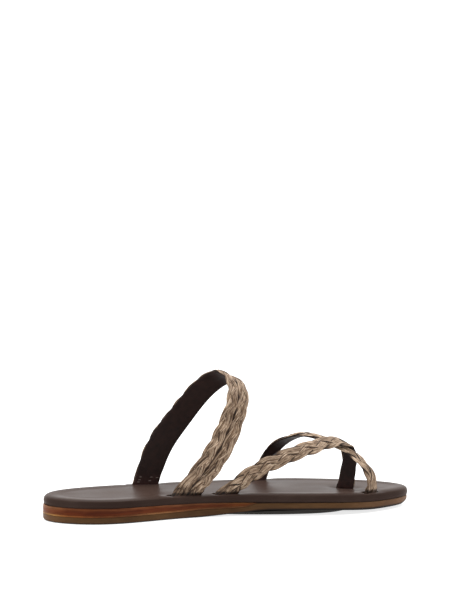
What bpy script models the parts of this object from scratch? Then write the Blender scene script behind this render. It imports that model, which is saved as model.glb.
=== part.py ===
"""Flat braided toe-loop sandal for the left foot, as separate solids.

The shoe stands on its sole with +Z up and the toe towards +X. The big-toe side (medial) is -Y.
Sizes are written in millimetres, from the back of the heel along X, from the middle of the heel
along Y and from the floor along Z. Each mesh is turned into metres when it is made, with the
middle of the sole's outline over the origin.
"""

import math
from collections import namedtuple

import bmesh
import bpy
import numpy as np

MM = 0.001
GAP = 0.3  # room between two pieces that meet
SAMPLES = 600  # points that a curve is read at before it is divided evenly

Corner = namedtuple("Corner", "place x y")
EdgeStep = namedtuple("EdgeStep", "inset height_share")
Section = namedtuple("Section", "x y rise tilt turn")
Braid = namedtuple("Braid", "width plaits pitch start stations")
Finish = namedtuple("Finish", "colour roughness")

# Outlines seen from above: one row for each turn of the edge, from the back along the medial side
# to the tip, and round the lateral side
SOLE_OUTLINE = (
    Corner("back", 0.9, 0.0),
    Corner("heel back medial", 9.5, -19.0),
    Corner("heel medial", 40.0, -31.5),
    Corner("waist medial", 104.0, -22.5),
    Corner("ball medial", 182.0, -42.5),
    Corner("toe medial", 231.0, -33.6),
    Corner("tip", 257.2, -9.0),
    Corner("toe lateral", 242.0, 20.0),
    Corner("ball lateral", 171.0, 42.5),
    Corner("waist lateral", 104.0, 40.0),
    Corner("heel lateral", 44.0, 32.0),
    Corner("heel back lateral", 10.5, 19.5),
)
PAD_OUTLINE = (
    Corner("back", 108.0, 7.0),
    Corner("back medial", 116.0, -16.0),
    Corner("ball medial", 174.0, -37.0),
    Corner("front medial", 203.0, -29.0),
    Corner("tip", 219.0, -4.0),
    Corner("front lateral", 205.0, 25.0),
    Corner("ball lateral", 168.0, 37.0),
    Corner("back lateral", 115.0, 31.0),
)
OUTSOLE_TIP = 255.8  # the outsole's tip is set back under the footbed
FOOTBED_BACK = 1.5  # the footbed's back is set in over the wedge
SOLE_STATIONS = 42  # steps of a sole layer from back to tip

# Side profile of the sole
PAD_HEIGHT = 3.5  # floor to the outsole's underside at the ball
ARCH_START, ARCH_END = 80.0, 145.0  # where the underside leaves the floor, and where it is level again
OUTSOLE_HEEL, OUTSOLE_FORE = 5.6, 5.1  # outsole thickness
SEAT_HEEL = 10.4  # floor to the footbed's underside at the heel
SEAT_FALL_BALL, SEAT_FALL_TOE = 1.5, 0.6  # how far that line falls to the ball, and on to the toe
TOE_DROP, TOE_DROP_END = 1.2, 225.0  # how far the sole's underside bends down, and where it ends
BALL_X, TOE_X = 170.0, 258.0
FOOTBED_HEEL, FOOTBED_BALL, FOOTBED_TOE = 6.3, 6.5, 5.6  # footbed thickness
WEDGE_END = 133.0  # the heel wedge runs out here

# Edge profiles: how far in from the outline, at what share of the layer's thickness
FOOTBED_EDGE = (
    EdgeStep(1.4, 0.0),
    EdgeStep(0.5, 0.08),
    EdgeStep(0.12, 0.20),
    EdgeStep(0.0, 0.36),
    EdgeStep(0.05, 0.55),
    EdgeStep(0.4, 0.75),
    EdgeStep(1.2, 0.885),
    EdgeStep(2.8, 0.965),
    EdgeStep(5.0, 1.0),
    EdgeStep(12.0, 0.93),
)
OUTSOLE_EDGE = (EdgeStep(1.9, 0.0), EdgeStep(0.8, 0.12), EdgeStep(0.25, 0.36), EdgeStep(0.2, 1.0))
WEDGE_EDGE = (EdgeStep(0.2, 0.0), EdgeStep(0.2, 1.0))
PAD_EDGE = (EdgeStep(1.0, 0.0), EdgeStep(0.0, 0.35), EdgeStep(0.0, 1.0))

# Strap routes from slot to slot along the middle of the wall. Rise is the height over the footbed.
# Tilt turns the outer face from up (0) to the medial side (90) or the lateral side (-90), and turn
# swings it towards the toe.
INSTEP_ROUTE = (
    Section(93.5, -17.0, 0.0, 90, 0),
    Section(102.5, -22.0, 13.5, 88, 6),
    Section(115.0, -24.0, 33.0, 80, 6),
    Section(123.7, -23.0, 52.5, 70, 18),
    Section(129.3, -15.0, 65.4, 42, 25),
    Section(129.5, -2.0, 74.0, 8, 25),
    Section(124.3, 9.5, 73.5, -23, 24),
    Section(113.5, 19.5, 62.0, -48, 14),
    Section(102.5, 28.5, 44.5, -69, 8),
    Section(90.0, 33.5, 24.0, -87, 6),
    Section(80.5, 32.5, 0.0, -90, 0),
)
UNDER_ROUTE = (
    Section(164.5, 36.5, 0.0, -90, 0),
    Section(171.0, 37.5, 11.5, -80, 4),
    Section(176.0, 34.0, 22.0, -48, 6),
    Section(186.5, 22.5, 31.0, -6, 6),
    Section(194.8, 7.1, 32.2, 18, 12),
    Section(201.5, -6.7, 28.9, 32, 18),
    Section(210.7, -18.7, 23.0, 48, 26),
    Section(216.6, -28.4, 14.6, 74, 28),
    Section(219.1, -32.9, 6.6, 88, 26),
    Section(218.6, -33.4, 0.0, 90, 24),
)
OVER_ROUTE = (
    Section(122.0, -18.5, 0.0, 90, -8),
    Section(130.5, -21.0, 7.5, 80, -9),
    Section(142.5, -24.0, 15.5, 78, -1),
    Section(155.0, -25.0, 21.0, 65, 4),
    Section(171.6, -23.6, 26.1, 57, 8),
    Section(188.8, -19.0, 29.8, 42, 12),
    Section(202.7, -14.7, 30.8, 26, 14),
    Section(211.8, -10.4, 24.8, -38, 20),
    Section(213.0, -9.6, 16.9, -85, 18),
    Section(210.7, -10.6, 4.8, -90, 20),
    Section(209.4, -11.1, 0.0, -90, 20),
)
END_GAP = 0.5  # strap end to the layer under the footbed
LEVEL_STRETCH = 22.0  # a strap's sections turn level over this length at each end
GATHER = 0.4  # 1 keeps a slanting strap's width where it enters its slot, 0 draws it in

# Braid: plaits of three strands side by side, standing on the strap's wall. Pitch is the length in
# which a strand swings over and back, and start is where one crosses its plait's middle.
INSTEP_BRAID = Braid(18.4, 2, 39.6, 58.0, 84)
OVER_BRAID = Braid(10.8, 1, 44.0, 50.5, 52)
UNDER_BRAID = Braid(10.8, 1, 44.0, 53.0, 52)
STRANDS = 3
WALL_IN = 1.4  # mid-wall to the lining face
WALL_OUT = 0.3  # mid-wall to the grooves between strands
STRAND_RISE = 1.3  # grooves to the strands' crests
STRAND_DIP = 0.6  # share of that rise that a strand loses as it passes under
STRAND_SWING, STRAND_HALF = 0.52, 0.48  # a strand's swing and half width, as shares of half a plait
COLUMNS_PER_PLAIT = 7
SCALLOP_POWER = 3  # how near the strap's edge its scallops stay

# Slots in the footbed, with a thin slit that runs on towards the heel
SLOT_CLEAR = 0.4
SLIT_LENGTH, SLIT_HALF = 3.4, 0.5
SLOT_ABOVE, SLOT_BELOW = 8.0, 3.0

# Finishes, with linear colours
RUBBER_GREY = Finish((0.045, 0.045, 0.042), 0.8)
SOLE_BROWN = Finish((0.105, 0.058, 0.026), 0.6)
WEDGE_ORANGE = Finish((0.21, 0.048, 0.011), 0.5)
LEATHER_BROWN = Finish((0.052, 0.036, 0.032), 0.45)
RAFFIA_TAN = Finish((0.36, 0.27, 0.19), 0.85)

MERGE = 1e-6  # metres, points closer than this are one point
SHARP = math.radians(40)  # edges that turn more than this are drawn sharp


# Curves

def smoothstep(start, end, x):
    share = np.clip((np.asarray(x, float) - start) / (end - start), 0.0, 1.0)
    return share * share * (3.0 - 2.0 * share)


def unit(vectors):
    return vectors / np.linalg.norm(vectors, axis=-1, keepdims=True)


def spline(rows, closed=False):
    """(function, knots): a cubic curve through the rows, spaced by the root of their distance."""
    points = np.array(rows, float)
    if closed:
        points = np.vstack([points, points[:1]])
    steps = np.sqrt(np.linalg.norm(np.diff(points[:, :3], axis=0), axis=1))
    knots = np.concatenate([[0.0], np.cumsum(steps)])
    last = len(points) - 1
    matrix = np.eye(last + 1)
    target = np.zeros_like(points)
    slopes = np.diff(points, axis=0) / steps[:, None]
    for i in range(1, last):
        matrix[i, i - 1 : i + 2] = steps[i - 1], 2 * (steps[i - 1] + steps[i]), steps[i]
        target[i] = 6 * (slopes[i] - slopes[i - 1])
    if closed:
        matrix[0, last] = -1.0
        matrix[last, [0, 1]] = 2 * steps[0], steps[0]
        matrix[last, [last - 1, last]] = steps[-1], 2 * steps[-1]
        target[last] = 6 * (slopes[0] - slopes[-1])
    bends = np.linalg.solve(matrix, target)

    def at(where):
        where = np.atleast_1d(np.asarray(where, float))
        i = np.clip(np.searchsorted(knots, where, side="right") - 1, 0, last - 1)
        h = steps[i]
        b = (where - knots[i]) / h
        a = 1.0 - b
        bend = (a**3 - a)[:, None] * bends[i] + (b**3 - b)[:, None] * bends[i + 1]
        return a[:, None] * points[i] + b[:, None] * points[i + 1] + bend * (h * h / 6)[:, None]

    return at, knots


def outline_curve(outline):
    return spline([(corner.x, corner.y) for corner in outline], closed=True)


def moved_corner(outline, place, x):
    """The outline with one of its corners moved along the shoe."""
    return [corner._replace(x=x) if corner.place == place else corner for corner in outline]


def outline_middle(outline):
    at, knots = outline_curve(outline)
    edge = at(np.linspace(0.0, knots[-1], SAMPLES))
    return (edge.min(axis=0) + edge.max(axis=0)) / 2


MIDDLE = outline_middle(SOLE_OUTLINE)


# Heights of the sole at a station x

def floor(x):
    return np.zeros_like(x)


def toe_drop(x):
    return TOE_DROP * smoothstep(BALL_X, TOE_DROP_END, x)


def outsole_bottom(x):
    return PAD_HEIGHT * smoothstep(ARCH_START, ARCH_END, x) - toe_drop(x)


def outsole_top(x):
    thickness = OUTSOLE_HEEL + (OUTSOLE_FORE - OUTSOLE_HEEL) * smoothstep(ARCH_START, ARCH_END, x)
    return np.minimum(outsole_bottom(x) + thickness, footbed_bottom(x) - GAP)


def seat(x):
    """The line that the footbed's thickness is measured from."""
    fall = SEAT_FALL_BALL * smoothstep(0.0, BALL_X, x)
    return SEAT_HEEL - fall - SEAT_FALL_TOE * smoothstep(BALL_X, TOE_X, x)


def footbed_bottom(x):
    return seat(x) - toe_drop(x)


def footbed_top(x):
    growth = (FOOTBED_BALL - FOOTBED_HEEL) * smoothstep(0.0, BALL_X, x)
    thinning = (FOOTBED_BALL - FOOTBED_TOE) * smoothstep(BALL_X, TOE_X, x)
    return seat(x) + FOOTBED_HEEL + growth - thinning


# Sole layers

def outline_sides(outline, inset, x_to=None):
    """Medial and lateral points of an outline from back to tip, moved in and cut at x_to."""
    at, knots = outline_curve(outline)
    around = knots[-1]
    tip = knots[[corner.place for corner in outline].index("tip")]
    share = np.linspace(0.0, 1.0, SAMPLES)
    eased = (1.0 - np.cos(np.pi * np.linspace(0.0, 1.0, SOLE_STATIONS + 1))) / 2
    nudge = around / SAMPLES
    sides = []
    for back in (0.0, around):
        knot = back + (tip - back) * share
        ahead = unit(at((knot + nudge) % around) - at((knot - nudge) % around))
        line = at(knot) + inset * np.column_stack([-ahead[:, 1], ahead[:, 0]])
        last = 1.0 if x_to is None else np.interp(x_to, line[:, 0], share)
        sides.append(
            np.column_stack([np.interp(last * eased, share, line[:, axis]) for axis in (0, 1)])
        )
    return sides


def sole_layer(name, outline, edge, bottom, top, look, x_to=None):
    """A layer of the sole between two heights, with its edge profile."""
    mesh = bmesh.new()
    levels = []
    for step in edge:
        level = []
        for side in outline_sides(outline, step.inset, x_to):
            low, high = bottom(side[:, 0]), top(side[:, 0])
            points = np.column_stack([side, low + step.height_share * (high - low)])
            level.append([mesh.verts.new(to_metres(point)) for point in points])
        levels.append(level)
    for i in range(SOLE_STATIONS):
        for medial, lateral in (levels[0], levels[-1]):
            mesh.faces.new([medial[i], medial[i + 1], lateral[i + 1], lateral[i]])
        for lower, upper in zip(levels, levels[1:]):
            for below, above in zip(lower, upper):
                mesh.faces.new([below[i], below[i + 1], above[i + 1], above[i]])
    for end in (0, SOLE_STATIONS):
        for lower, upper in zip(levels, levels[1:]):
            mesh.faces.new([lower[0][end], lower[1][end], upper[1][end], upper[0][end]])
    return finish(name, mesh, look)


# Straps

def facing(tilt, turn):
    """The direction of a strap's outer face."""
    tilt, turn = np.radians(tilt), np.radians(turn)
    return np.stack(
        [np.sin(turn), -np.cos(turn) * np.sin(tilt), np.cos(turn) * np.cos(tilt)], axis=-1
    )


def slot_end(row, inner):
    """The row where a strap stops: on along its slant in the slot, just over the layer below."""
    outward = facing(row[3], row[4])
    run = inner[:3] - row[:3]
    run = run - run.dot(outward) * outward
    depth = row[2] - footbed_bottom(row[0]) - END_GAP
    return np.concatenate([row[:3] - run * depth / run[2], row[3:]])


def route_rows(route):
    """Rows of x, y, z, tilt and turn along a strap, with both ends down in their slots."""
    rows = np.array([(s.x, s.y, footbed_top(s.x) + s.rise, s.tilt, s.turn) for s in route])
    return np.vstack([slot_end(rows[0], rows[1]), rows, slot_end(rows[-1], rows[-2])])


def route_sections(route, width, count):
    """Even sections along a strap: place, width direction, outward direction, width, length."""
    at, knots = spline(route_rows(route))
    dense = at(np.linspace(knots[0], knots[-1], SAMPLES))
    steps = np.linalg.norm(np.diff(dense[:, :3], axis=0), axis=1)
    length = np.concatenate([[0.0], np.cumsum(steps)])
    along = np.linspace(0.0, length[-1], count)
    rows = np.column_stack([np.interp(along, length, column) for column in dense.T])
    place = rows[:, :3]
    ahead = unit(np.gradient(place, axis=0))
    outward = facing(rows[:, 3], rows[:, 4])
    outward = unit(outward - (outward * ahead).sum(axis=1)[:, None] * ahead)
    square = np.cross(ahead, outward)
    level = unit(np.cross([0.0, 0.0, 1.0], outward))
    level *= np.sign((level * square).sum(axis=1))[:, None]
    from_end = np.minimum(along, along[-1] - along)
    share = 1.0 - smoothstep(LEVEL_STRETCH / 2, LEVEL_STRETCH, from_end)[:, None]
    across = unit(square * (1.0 - share) + level * share)
    spread = width / (across * square).sum(axis=1) ** GATHER
    return place, across, outward, spread, along


def strand_turns(phase):
    return [phase + 2 * math.pi * strand / STRANDS for strand in range(STRANDS)]


def plait_rise(phase, across):
    """Rise of a plait, 0 to 1, at a place across its half width from -1 to 1. A strand passes over
    the others on its way from the edge to the middle."""
    rises = [0.0]
    for turn in strand_turns(phase):
        offset = (across - STRAND_SWING * math.sin(turn)) / STRAND_HALF
        dome = math.sqrt(max(0.0, 1.0 - offset * offset))
        rises.append(dome * (1.0 - STRAND_DIP * (1.0 + math.sin(2 * turn)) / 2))
    return max(rises)


def plait_reach(phase, side):
    """How far a plait's edge stands out on one side, as a share of its half width."""
    return STRAND_HALF + STRAND_SWING * max(side * math.sin(turn) for turn in strand_turns(phase))


def strap_ring(phase, plaits):
    """A strap's section: places across from -1 to 1, and out from mid-wall."""
    columns = plaits * COLUMNS_PER_PLAIT
    ring = []
    for column in range(columns + 1):
        share = 2.0 * column / columns - 1.0
        which = min(int((share + 1.0) / 2.0 * plaits), plaits - 1)
        in_plait = (share + 1.0) * plaits - 2.0 * which - 1.0
        short = 1.0 - plait_reach(phase, math.copysign(1.0, share))
        reach = 1.0 - short * abs(share) ** SCALLOP_POWER / plaits
        at_edge = column in (0, columns)
        rise = 0.0 if at_edge else STRAND_RISE * plait_rise(phase, in_plait)
        ring.append((share * reach, WALL_OUT + rise))
    return ring + [(ring[-1][0], -WALL_IN), (ring[0][0], -WALL_IN)]


def strap(name, route, braid, look):
    """A strap's wall with the strands of its braid raised on the outer face."""
    place, across, outward, spread, along = route_sections(route, braid.width, braid.stations)
    mesh = bmesh.new()
    rings = []
    for i in range(braid.stations):
        ring = strap_ring(2 * math.pi * (along[i] - braid.start) / braid.pitch, braid.plaits)
        half = across[i] * spread[i] / 2
        rings.append([place[i] + half * side + outward[i] * out for side, out in ring])
    add_tube(mesh, rings)
    return finish(name, mesh, look)


def slot_ring(spread):
    """A slot's section, a little larger than the strap, with its slit: places across and out."""
    half = spread / 2 + SLOT_CLEAR
    slit = -half - SLIT_LENGTH
    outer = WALL_OUT + STRAND_RISE + SLOT_CLEAR
    inner = -WALL_IN - SLOT_CLEAR
    return (
        (slit, SLIT_HALF), (-half, outer), (half, outer),
        (half, inner), (-half, inner), (slit, -SLIT_HALF),
    )


def slot_cutter(name, straps):
    """Bodies a little larger than both ends of each strap, where they pass the footbed."""
    mesh = bmesh.new()
    for route, braid in straps:
        count = braid.stations
        place, across, outward, spread, _ = route_sections(route, braid.width, count)
        for from_end in (range(count // 3), range(count - 1, count - count // 3, -1)):
            top = footbed_top(place[from_end[0], 0]) + SLOT_ABOVE
            inside = [i for i in from_end if place[i, 2] < top]
            end = inside[0]
            below = place[end] + unit(place[end] - place[inside[1]]) * SLOT_BELOW
            centres = [(below, end)] + [(place[i], i) for i in inside]
            rings = [
                [centre + across[i] * side + outward[i] * out for side, out in slot_ring(spread[i])]
                for centre, i in centres
            ]
            add_tube(mesh, rings)
    cutter = finish(name, mesh, LEATHER_BROWN)
    hide(cutter)
    return cutter


# Mesh and object helpers

def to_metres(point):
    return ((point[0] - MIDDLE[0]) * MM, (point[1] - MIDDLE[1]) * MM, point[2] * MM)


def add_tube(mesh, rings):
    """Skins a row of rings of points and closes both ends."""
    rings = [[mesh.verts.new(to_metres(point)) for point in ring] for ring in rings]
    for here, there in zip(rings, rings[1:]):
        for k in range(len(here)):
            m = (k + 1) % len(here)
            mesh.faces.new([here[k], here[m], there[m], there[k]])
    mesh.faces.new(rings[0])
    mesh.faces.new(rings[-1])


def finish(name, mesh, look):
    """Turns a bmesh into a named object with its own material."""
    bmesh.ops.remove_doubles(mesh, verts=mesh.verts, dist=MERGE)
    bmesh.ops.dissolve_degenerate(mesh, edges=mesh.edges, dist=MERGE)
    bmesh.ops.triangulate(mesh, faces=mesh.faces)
    bmesh.ops.recalc_face_normals(mesh, faces=mesh.faces)
    data = bpy.data.meshes.new(name)
    mesh.to_mesh(data)
    mesh.free()
    data.shade_smooth()
    data.set_sharp_from_angle(angle=SHARP)
    material = bpy.data.materials.new(name)
    material.use_nodes = True
    shader = material.node_tree.nodes["Principled BSDF"]
    shader.inputs["Base Color"].default_value = (*look.colour, 1.0)
    shader.inputs["Roughness"].default_value = look.roughness
    shader.inputs["Metallic"].default_value = 0.0
    data.materials.append(material)
    obj = bpy.data.objects.new(name, data)
    bpy.context.scene.collection.objects.link(obj)
    return obj


def hide(obj):
    obj.hide_render = True
    obj.display_type = "WIRE"


def boolean(obj, other, operation):
    modifier = obj.modifiers.new(operation.lower(), "BOOLEAN")
    modifier.operation = operation
    modifier.object = other
    modifier.solver = "EXACT"


# The shoe

def make_sole():
    """Pad, outsole, wedge and footbed. The footbed is returned for its slots."""
    sole_layer(
        "forefoot_pad", PAD_OUTLINE, PAD_EDGE, floor, lambda x: outsole_bottom(x) - GAP, RUBBER_GREY
    )
    sole_layer(
        "outsole", moved_corner(SOLE_OUTLINE, "tip", OUTSOLE_TIP), OUTSOLE_EDGE,
        outsole_bottom, outsole_top, SOLE_BROWN,
    )
    sole_layer(
        "heel_wedge", SOLE_OUTLINE, WEDGE_EDGE,
        lambda x: outsole_top(x) + GAP, lambda x: footbed_bottom(x) - GAP,
        WEDGE_ORANGE, x_to=WEDGE_END,
    )
    return sole_layer(
        "footbed", moved_corner(SOLE_OUTLINE, "back", FOOTBED_BACK), FOOTBED_EDGE,
        footbed_bottom, footbed_top, LEATHER_BROWN,
    )


def make_straps():
    """The instep strap, and the two toe straps joined where they cross."""
    strap("instep_strap", INSTEP_ROUTE, INSTEP_BRAID, RAFFIA_TAN)
    over = strap("toe_straps", OVER_ROUTE, OVER_BRAID, RAFFIA_TAN)
    under = strap("under_strap", UNDER_ROUTE, UNDER_BRAID, RAFFIA_TAN)
    hide(under)
    boolean(over, under, "UNION")


def main():
    for obj in list(bpy.data.objects):
        bpy.data.objects.remove(obj)
    footbed = make_sole()
    make_straps()
    slots = slot_cutter(
        "strap_slots",
        ((INSTEP_ROUTE, INSTEP_BRAID), (OVER_ROUTE, OVER_BRAID), (UNDER_ROUTE, UNDER_BRAID)),
    )
    boolean(footbed, slots, "DIFFERENCE")


main()
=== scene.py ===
"""Looks of a flat braided toe-loop sandal for the left foot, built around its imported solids.

Sizes are in millimetres, as in the part's source: from the back of the heel along X, from the middle
of the heel along Y and from the floor along Z, with the big-toe side (medial) towards -Y. Meshes are
made in metres, with the middle of the sole's outline over the origin.
"""

import math
from collections import namedtuple

import bmesh
import bpy
import numpy as np
from mathutils import Matrix, Vector


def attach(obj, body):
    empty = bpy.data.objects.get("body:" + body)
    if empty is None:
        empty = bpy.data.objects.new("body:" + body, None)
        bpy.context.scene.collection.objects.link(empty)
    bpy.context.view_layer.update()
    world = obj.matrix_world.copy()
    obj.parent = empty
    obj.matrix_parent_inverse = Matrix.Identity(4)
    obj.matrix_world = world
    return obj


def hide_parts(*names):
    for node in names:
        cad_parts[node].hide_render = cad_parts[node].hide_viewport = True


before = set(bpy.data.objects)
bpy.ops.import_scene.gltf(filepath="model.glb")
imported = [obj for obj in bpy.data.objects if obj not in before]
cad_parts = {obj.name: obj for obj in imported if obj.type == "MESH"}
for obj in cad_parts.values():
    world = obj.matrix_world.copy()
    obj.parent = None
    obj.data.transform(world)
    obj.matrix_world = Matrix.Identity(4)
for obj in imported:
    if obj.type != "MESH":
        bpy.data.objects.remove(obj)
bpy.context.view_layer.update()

MM = 0.001
SAMPLES = 600  # points that a curve is read at
SEED = 7
MERGE = 1e-6  # metres between points that are one
SHARP = math.radians(50)  # least turn of a sharp edge
ROUND = 2 * math.pi
WHITE = (1.0, 1.0, 1.0)
SCENE = bpy.context.scene

Corner = namedtuple("Corner", "place x y")
Step = namedtuple("Step", "inset height_share")
Section = namedtuple("Section", "x y rise tilt turn")
Plait = namedtuple("Plait", "name middle half start")
Lining = namedtuple("Lining", "first last change shift")
Stitch = namedtuple("Stitch", "across rise")
Sway = namedtuple("Sway", "strength wave")
Strap = namedtuple("Strap", "name route width pitch plaits fibres outline under hairs lining dips")

# Outlines seen from above: one row for each turn of the edge, from the back along the medial side
# to the tip, and round the lateral side
SOLE_OUTLINE = (
    Corner("back", 0.9, 0.0),
    Corner("heel back medial", 9.5, -19.0),
    Corner("heel medial", 40.0, -31.5),
    Corner("waist medial", 104.0, -22.5),
    Corner("ball medial", 182.0, -42.5),
    Corner("toe medial", 231.0, -33.6),
    Corner("tip", 257.2, -9.0),
    Corner("toe lateral", 242.0, 20.0),
    Corner("ball lateral", 171.0, 42.5),
    Corner("waist lateral", 104.0, 40.0),
    Corner("heel lateral", 44.0, 32.0),
    Corner("heel back lateral", 10.5, 19.5),
)
PAD_OUTLINE = (
    Corner("back", 108.0, 7.0),
    Corner("back medial", 116.0, -16.0),
    Corner("ball medial", 174.0, -37.0),
    Corner("front medial", 203.0, -29.0),
    Corner("tip", 219.0, -4.0),
    Corner("front lateral", 205.0, 25.0),
    Corner("ball lateral", 168.0, 37.0),
    Corner("back lateral", 115.0, 31.0),
)
OUTSOLE_TIP = 257.0
FOOTBED_BACK = 1.5  # set in over the wedge

# Side profile of the sole. Pairs are the stations where a change begins and ends.
SEAM = 0.15  # room between two layers of the sole
PAD_HEIGHT = 3.5
ARCH = (80.0, 145.0)
WAIST = (96.0, 150.0)  # where the outsole's underside leaves the floor
WEDGE_LOW, WEDGE_LOW_RUN = 1.2, (129.0, 138.0)  # drop of the wedge's lower line
WEDGE_TAIL, WEDGE_TAIL_RUN = 1.1, (96.0, 124.0)  # its further drop towards the front
TOE_LOW, TOE_LOW_RUN = 0.4, (190.0, 220.0)  # drop of the outsole's underside under the toes
OUTSOLE_HEEL, OUTSOLE_FORE = 5.6, 5.1
SEAT_HEEL, SEAT_FALL_BALL, SEAT_FALL_TOE = 10.4, 1.5, 0.6
BALL_X, TOE_X = 170.0, 258.0
TOE_DROP, TOE_DROP_RUN = 1.2, (BALL_X, 225.0)
TIP_RISE, TIP_RISE_RUN = 1.8, (244.0, TOE_X)  # the outsole's lower edge curves up at the tip
FOOTBED_HEEL, FOOTBED_BALL, FOOTBED_TOE = 6.3, 6.5, 5.6
WEDGE_END, WEDGE_THIN = 137.0, 0.05  # where the wedge runs out, and its thickness there
RAND_HEIGHT = 1.0  # the thin tan line along the wedge's lower edge
HEEL_TILT, HEEL_HALF = 0.4, 30.0  # rise of the top's lateral edge at the heel
HEEL_TILT_RUN = (70.0, 150.0)  # where that tilt fades out
TOP_FALL, TOP_HALF = 1.0, 43.0  # fall of the top to its medial edge
RELIEF_FROM = 0.6  # share of the thickness where the top's relief begins

# Edge profiles: how far in from the outline, at what share of the layer's thickness
FOOTBED_EDGE = (
    Step(1.0, 0.0), Step(0.35, 0.07), Step(0.1, 0.20), Step(0.0, 0.35),
    Step(0.15, 0.54), Step(0.65, 0.73), Step(1.45, 0.87), Step(2.8, 0.96),
    Step(5.2, 1.0), Step(12.0, 0.93),
)
OUTSOLE_EDGE = (
    Step(1.9, 0.0), Step(1.2, 0.05), Step(0.7, 0.15), Step(0.3, 0.33),
    Step(0.2, 0.60), Step(0.25, 0.94), Step(0.6, 1.0),
)
WEDGE_EDGE = (Step(0.35, 0.0), Step(0.2, 0.2), Step(0.25, 0.8), Step(0.5, 1.0))
RAND_EDGE = (Step(0.3, 0.0), Step(0.1, 0.3), Step(0.1, 0.7), Step(0.3, 1.0))
PAD_EDGE = (Step(8.0, 0.0), Step(5.0, 0.12), Step(2.0, 0.45), Step(0.0, 1.0))
PROFILE_STEPS = 6  # between two rows of an edge profile
BASE_COLUMNS = 8  # columns of faces under a layer of the sole

# Strap routes from slot to slot along the middle of the wall. Rise is the height over the footbed.
# Tilt turns the outer face from up (0) to the medial side (90) or the lateral side (-90), and turn
# swings it towards the toe.
INSTEP_ROUTE = (
    Section(93.5, -17.0, 0.0, 90, 0),
    Section(102.5, -22.0, 13.5, 88, 6),
    Section(115.0, -24.0, 33.0, 80, 6),
    Section(123.7, -23.0, 52.5, 70, 18),
    Section(129.3, -15.0, 65.4, 42, 25),
    Section(129.5, -2.0, 74.0, 8, 25),
    Section(124.3, 9.5, 73.5, -23, 24),
    Section(113.5, 19.5, 62.0, -48, 14),
    Section(102.5, 28.5, 44.5, -69, 8),
    Section(90.0, 33.5, 24.0, -87, 6),
    Section(80.5, 32.5, 0.0, -90, 0),
)
UNDER_ROUTE = (
    Section(164.5, 36.5, 0.0, -90, 0),
    Section(171.0, 37.5, 11.5, -80, 4),
    Section(176.0, 34.0, 22.0, -48, 6),
    Section(186.5, 22.5, 31.0, -6, 6),
    Section(194.8, 7.1, 32.2, 18, 12),
    Section(201.5, -6.7, 28.9, 32, 18),
    Section(210.7, -18.7, 23.0, 48, 26),
    Section(216.6, -28.4, 14.6, 74, 28),
    Section(219.1, -32.9, 6.6, 88, 26),
    Section(218.6, -33.4, 0.0, 90, 24),
)
OVER_ROUTE = (
    Section(122.0, -18.5, 0.0, 90, -8),
    Section(130.5, -21.0, 7.5, 80, -9),
    Section(142.5, -24.0, 15.5, 78, -1),
    Section(155.0, -25.0, 21.0, 65, 4),
    Section(171.6, -23.6, 26.1, 57, 8),
    Section(188.8, -19.0, 29.8, 42, 12),
    Section(202.7, -14.7, 30.8, 26, 14),
    Section(211.8, -10.4, 24.8, -38, 20),
    Section(213.0, -9.6, 16.9, -85, 18),
    Section(210.7, -10.6, 4.8, -90, 20),
    Section(209.4, -11.1, 0.0, -90, 20),
)
END_GAP = 0.5  # strap end to the layer under the footbed
LEVEL_STRETCH = 22.0  # length over which a strap turns level at its ends
GATHER = 0.4  # 1 keeps a slanting strap's width at its slot, 0 draws it in

# Straps. A plait has its middle across the strap, half its width, and where a strand crosses its middle.
# A lining has its share of the width before and after a change, where that is, and a shift across.
# Outline is where a strand's rim of painted shade begins, under is the painted shade of a strand that
# passes under, hairs the strength of hairlines, and dips how deep the leather is drawn down at both ends.
INSTEP_STRAP = Strap(
    "instep", INSTEP_ROUTE, width=18.4, pitch=39.6,
    plaits=(Plait("front", 4.5, 4.9, 58.0), Plait("back", -4.5, 4.9, 61.5)),
    fibres=11, outline=0.70, under=0.30, hairs=1.0,
    lining=Lining(0.86, 0.95, 0.5, 0.3), dips=(0.6, 0.5),
)
OVER_STRAP = Strap(
    "over", OVER_ROUTE, width=10.8, pitch=44.0, plaits=(Plait("single", 0.0, 5.7, 50.5),),
    fibres=13, outline=0.57, under=0.45, hairs=0.75,
    lining=Lining(0.78, 1.0, 0.84, 0.0), dips=(0.6, 0.9),
)
UNDER_STRAP = OVER_STRAP._replace(
    name="under", route=UNDER_ROUTE, plaits=(Plait("single", 0.0, 5.7, 53.0),),
    lining=Lining(0.95, 0.60, 0.5, 0.0), dips=(0.5, 0.5),
)
STRAPS = (INSTEP_STRAP, OVER_STRAP, UNDER_STRAP)

# Strands of a plait
STRANDS = 3
STRAND_SWING, STRAND_HALF = 0.53, 0.43  # shares of half a plait
STRAND_SWELL = 0.32  # how much wider a strand is at the plait's middle
END_FAN, FAN_REACH = 0.28, (8.0, 15.0)  # how much wider a strand is near the slots
STRAND_STEP = 0.75  # length between two rings of a strand
STRAND_THICK = 0.38  # half of a strand's thickness
STRAND_FLAT = 4.0  # power of the section's curve, 2 for an ellipse
STRAND_LANE = 3.0  # half of a strip's breadth, for the grain
BRAID_MID = 0.55  # mid-wall to the middle of the strands
BRAID_OVER = 0.38  # how far a strand rises and dips from there
BRAID_DOME = 0.22  # how much lower strands lie at the plait's edge
EDGE_ROLL = math.radians(20)  # how far a strand leans out at the plait's edge
EDGE_TURN = 0.08  # how sharply a strand turns back at the plait's edge
STRIP_REACH, STRIP_TABLE = math.radians(115), math.radians(165)  # round the section from its top
ARC_POINTS = 301
RIDGE, RIDGE_POINTS = 0.06, 4  # height of a fibre's ridge, and points across it
LINE_STRAIGHT = 0.4  # how far fine lines keep to the strap's direction
LINE_DARK = 0.55  # how dark the lines between fibres are
SPLIT_DEPTH, SPLIT_RARE = 0.22, 0.8  # depth and rareness of places where fibres part

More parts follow.
